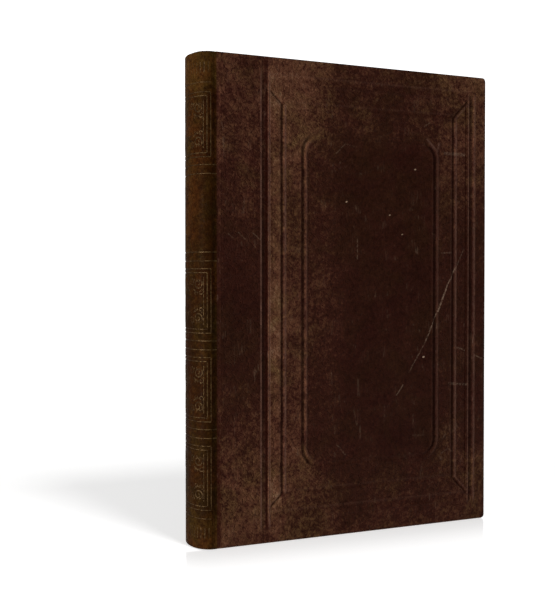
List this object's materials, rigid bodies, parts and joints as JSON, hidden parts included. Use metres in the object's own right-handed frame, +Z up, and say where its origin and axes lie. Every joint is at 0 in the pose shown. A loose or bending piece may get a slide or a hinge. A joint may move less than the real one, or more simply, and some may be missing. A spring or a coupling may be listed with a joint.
{
  "type": "antique leather book",
  "caption": "Upright antique book in full dark brown leather, with a rounded hollow back, blind-stamped frames on both covers and covers that open on their joints.",
  "frame": {"origin": "middle of the footprint on the surface that the book stands on, at the tail", "axes": "+Z up from tail to head, -X the back (spine), +X the fore-edge, -Y the front cover, +Y the rear cover"},
  "size_m": [0.153, 0.024, 0.22],
  "materials": {
    "cover_leather": "dark brown grained leather, blind stamped, dull and rubbed",
    "back_leather": "faded olive-brown leather with worn gilt fillets, dull",
    "pages": "aged cream paper edges, matt",
    "endpaper": "plain aged buff paper, matt",
    "board": "grey-brown millboard, matt",
    "cloth": "open cotton lining cloth, matt",
    "cord": "hemp cord, matt",
    "band": "striped cotton band, matt"
  },
  "bodies": {
    "book_block": {"text_block": "pages", "sewing_cords": "cord", "spine_lining": "cloth", "head_band": "band", "tail_band": "band", "front_flyleaf": "endpaper", "rear_flyleaf": "endpaper", "spine_inlay": "board", "spine_leather": "back_leather"},
    "front_cover": {"front_board": "board", "front_leather": "cover_leather", "front_hinge_cloth": "cloth", "front_pastedown": "endpaper"},
    "rear_cover": {"rear_board": "board", "rear_leather": "cover_leather", "rear_hinge_cloth": "cloth", "rear_pastedown": "endpaper"}
  },
  "joints": [
    {"name": "front_joint", "type": "hinge", "parent": "book_block", "child": "front_cover", "pos_m": [-0.06699, -0.0121, 0.11], "axis": [0, 0, -1], "range_deg": [0, 180]},
    {"name": "rear_joint", "type": "hinge", "parent": "book_block", "child": "rear_cover", "pos_m": [-0.06699, 0.0121, 0.11], "axis": [0, 0, 1], "range_deg": [0, 180]}
  ]
}
